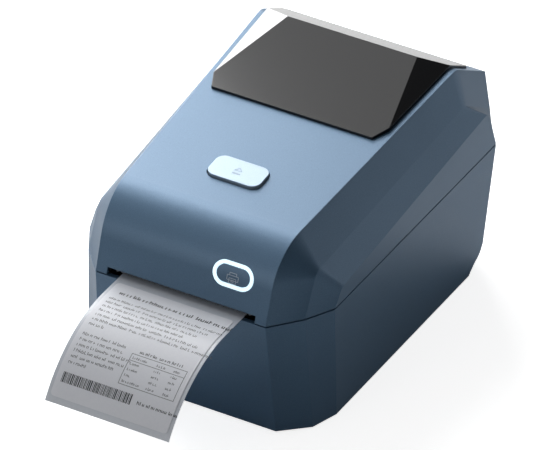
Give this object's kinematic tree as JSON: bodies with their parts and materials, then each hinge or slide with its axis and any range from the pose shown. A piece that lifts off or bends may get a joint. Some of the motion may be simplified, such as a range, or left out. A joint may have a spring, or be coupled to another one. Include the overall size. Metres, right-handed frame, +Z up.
{
  "type": "thermal label printer",
  "caption": "Desktop thermal label printer: faceted clamshell housing, drop-in label roll between sliding guides, driven platen, sprung print head and hinged latching lid.",
  "frame": {"origin": "middle of the whole printer's outline, on the surface that the feet stand on", "axes": "+Z up, +Y from the label slot towards the hinge, +X to the right seen from the front"},
  "size_m": [0.14, 0.278, 0.1232],
  "materials": {
    "aluminium": "extruded",
    "black_plastic": "fine matt",
    "board": "solder mask",
    "brass": "sintered bronze",
    "button_paint": "satin light blue",
    "cardboard": "plain",
    "ceramic": "glazed strip",
    "grey_plastic": "fine matt",
    "panel_black": "smoked black, polished",
    "paper": "coated label paper",
    "ring_light": "milky light guide",
    "rubber": "matt",
    "sheet_steel": "zinc-plated sheet",
    "shell_blue": "satin slate-blue paint over moulded plastic",
    "steel": "brushed",
    "white_plastic": "acetal"
  },
  "bodies": {
    "base": {"base_housing": "shell_blue", "bottom_plate": "black_plastic", "bottom_screws": "steel", "rubber_feet": "rubber", "hinge_pin_left": "steel", "hinge_pin_right": "steel", "printing_frame": "sheet_steel", "frame_screws": "steel", "keeper_pins": "steel", "gap_sensor": "black_plastic", "platen_bearing_left": "brass", "platen_bearing_right": "brass", "idler_pin": "steel", "stepper_motor": "sheet_steel", "paper_bay": "black_plastic", "bay_screws": "steel", "label_web": "paper", "printed_label": "paper", "main_board": "board", "board_screws": "steel", "usb_port": "sheet_steel", "power_jack": "black_plastic", "switch_body": "black_plastic"},
    "lid": {"lid_housing": "shell_blue", "window_panel": "panel_black", "tear_bar": "grey_plastic", "lid_frame": "sheet_steel", "lid_frame_screws": "steel", "latch_spring": "steel", "light_ring": "ring_light", "feed_switch": "board", "head_spring_left": "steel", "head_spring_right": "steel"},
    "platen": {"platen_shaft": "steel", "platen_roller": "rubber", "platen_gear": "white_plastic"},
    "idler": {"idler_gear": "white_plastic"},
    "motor_pinion": {"motor_pinion": "brass"},
    "roll": {"label_roll": "paper", "roll_core": "cardboard"},
    "guide_left": {"guide_left": "grey_plastic"},
    "guide_right": {"guide_right": "grey_plastic"},
    "guide_pinion": {"guide_pinion": "white_plastic"},
    "power_rocker": {"power_rocker": "black_plastic"},
    "latch": {"latch_bar": "black_plastic"},
    "open_button": {"open_button": "button_paint"},
    "feed_button": {"feed_button": "shell_blue"},
    "print_head": {"print_head": "aluminium", "head_strip": "ceramic"}
  },
  "joints": [
    {"name": "lid_hinge", "type": "hinge", "parent": "base", "child": "lid", "pos_m": [0, 0.13519, 0.0622], "axis": [-1, 0, 0], "range_deg": [0, 75]},
    {"name": "label_roll_spin", "type": "hinge", "parent": "base", "child": "roll", "pos_m": [0, 0.04719, 0.0612], "axis": [1, 0, 0], "continuous": true},
    {"name": "platen_spin", "type": "hinge", "parent": "base", "child": "platen", "pos_m": [0, -0.04981, 0.0607], "axis": [1, 0, 0], "continuous": true},
    {"name": "idler_spin", "type": "hinge", "parent": "base", "child": "idler", "pos_m": [0, -0.03386, 0.04823], "axis": [1, 0, 0], "continuous": true},
    {"name": "motor_spin", "type": "hinge", "parent": "base", "child": "motor_pinion", "pos_m": [0, -0.03924, 0.03343], "axis": [1, 0, 0], "continuous": true},
    {"name": "guide_right_slide", "type": "slide", "parent": "base", "child": "guide_right", "axis": [1, 0, 0], "range_m": [0, 0.006]},
    {"name": "guide_left_slide", "type": "slide", "parent": "base", "child": "guide_left", "axis": [1, 0, 0], "range_m": [-0.006, 0]},
    {"name": "guide_pinion_turn", "type": "hinge", "parent": "base", "child": "guide_pinion", "pos_m": [0, 0.04719, 0.0165], "axis": [0, 0, 1], "range_deg": [-60, 0]},
    {"name": "power_rocker_tilt", "type": "hinge", "parent": "base", "child": "power_rocker", "pos_m": [-0.034, 0.12803, 0.02361], "axis": [1, 0, 0], "range_deg": [-8, 8]},
    {"name": "open_button_press", "type": "slide", "parent": "lid", "child": "open_button", "axis": [0, 0, -1], "range_m": [0, 0.0018], "stiffness_N_per_m": 300},
    {"name": "latch_turn", "type": "hinge", "parent": "lid", "child": "latch", "pos_m": [0, -0.03781, 0.0872], "axis": [-1, 0, 0], "range_deg": [0, 4.06]},
    {"name": "feed_button_press", "type": "slide", "parent": "lid", "child": "feed_button", "axis": [0, 0.9272, -0.3746], "range_m": [0, 0.0008], "stiffness_N_per_m": 400},
    {"name": "print_head_float", "type": "slide", "parent": "lid", "child": "print_head", "axis": [0, 0, 1], "range_m": [0, 0.001], "stiffness_N_per_m": 3000, "deforming": ["head_spring_left", "head_spring_right"]}
  ],
  "couplings": [
    {"joint": "platen_spin", "follows": "label_roll_spin", "ratio": 5.7143},
    {"joint": "idler_spin", "follows": "label_roll_spin", "ratio": -4.5714},
    {"joint": "motor_spin", "follows": "label_roll_spin", "ratio": 11.429},
    {"joint": "guide_left_slide", "follows": "guide_right_slide", "ratio": -1},
    {"joint": "guide_pinion_turn", "follows": "guide_right_slide", "rad_per_m": -166.67},
    {"joint": "latch_turn", "follows": "open_button_press", "rad_per_m": 36.496}
  ]
}
